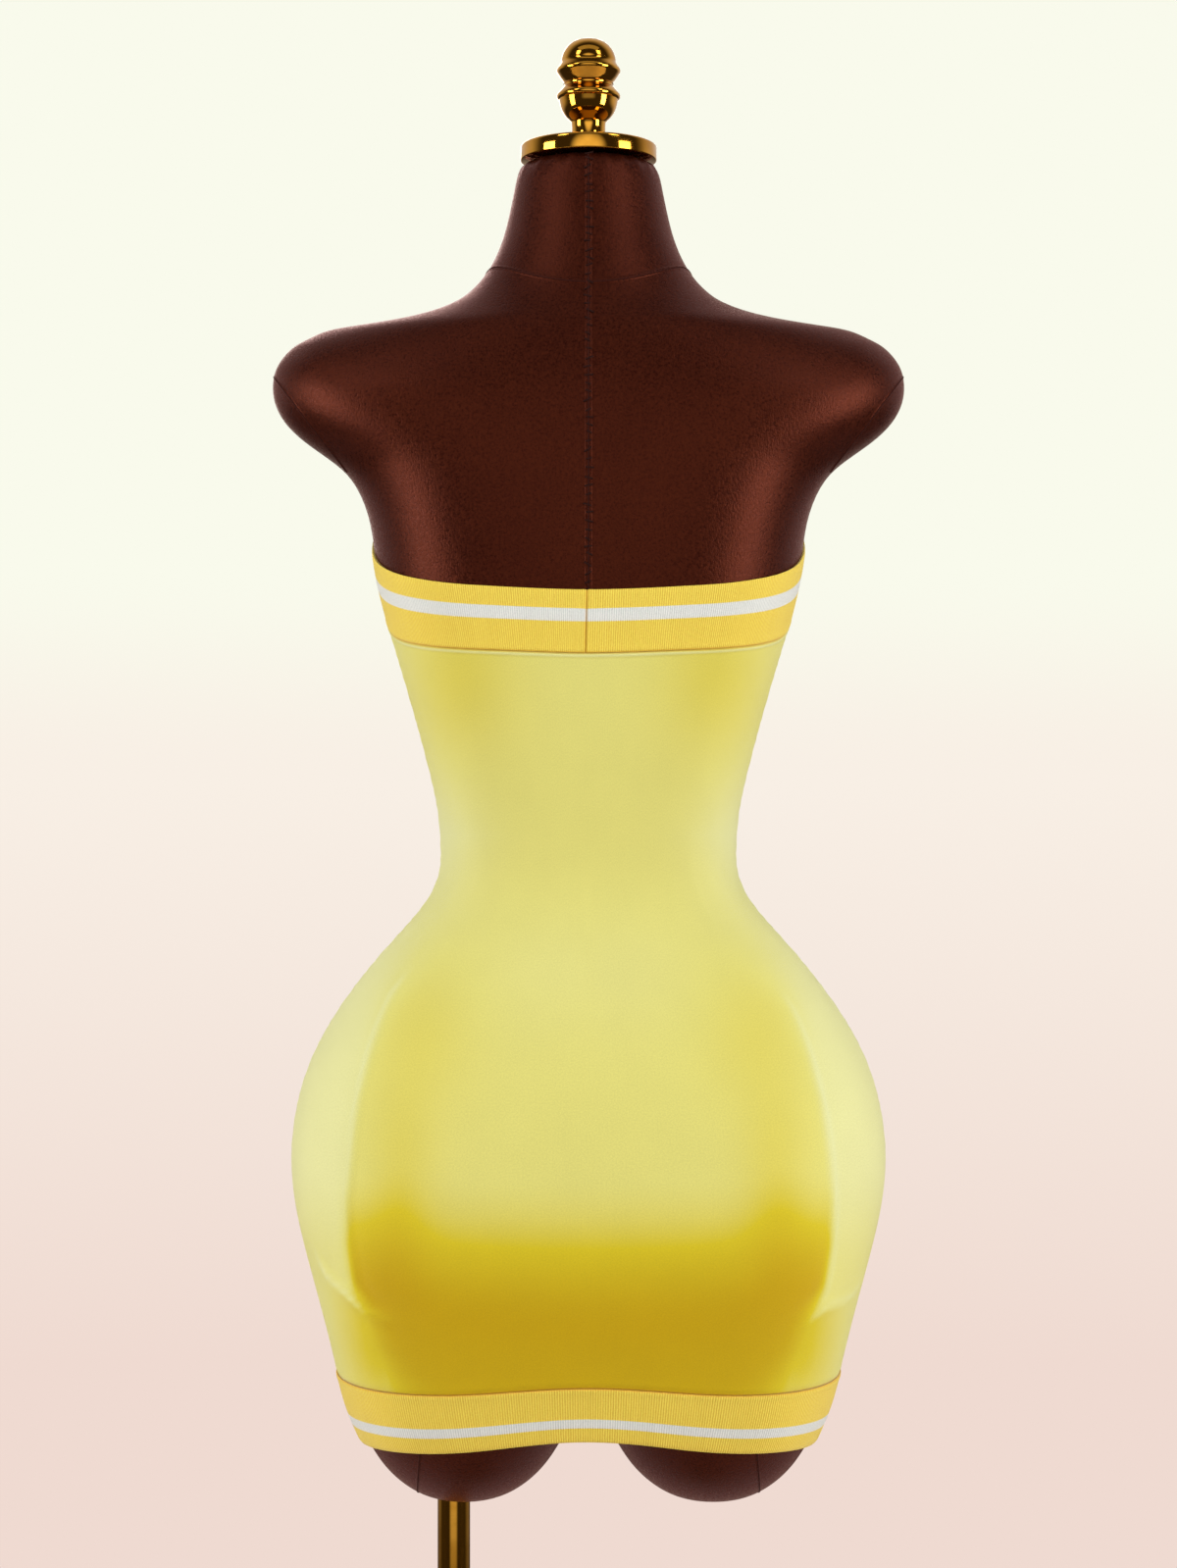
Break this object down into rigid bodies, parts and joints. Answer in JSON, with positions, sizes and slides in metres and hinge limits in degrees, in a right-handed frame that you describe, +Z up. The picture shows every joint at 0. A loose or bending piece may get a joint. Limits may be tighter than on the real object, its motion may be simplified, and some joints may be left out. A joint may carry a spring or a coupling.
{
  "type": "bodycon dress on dress form",
  "caption": "Strapless tube dress in stretch jersey with striped rib bands at top and hem, on a limbless satin dress form with a brass neck cap, finial, pole and round base.",
  "frame": {"origin": "on the floor, at the middle of the round base plate's underside", "axes": "+Z up; -Y towards the front of the dress, +Y towards its back; +X towards the wearer's left"},
  "size_m": [0.4452, 0.36, 1.6491],
  "materials": {
    "yellow_jersey": "smooth fine stretch jersey, soft sheen",
    "yellow_rib": "fine rib knit with one knitted-in white stripe",
    "brown_satin": "stretch satin cover, soft broken highlights",
    "polished_brass": "polished and lacquered"
  },
  "bodies": {
    "root": {"top_band": "yellow_rib", "back_panel": "yellow_jersey", "front_panel": "yellow_jersey", "hem_band": "yellow_rib", "form_body": "brown_satin", "neck_disc": "polished_brass", "finial": "polished_brass", "pole": "polished_brass", "base_socket": "polished_brass", "base_plate": "polished_brass"}
  },
  "joints": []
}
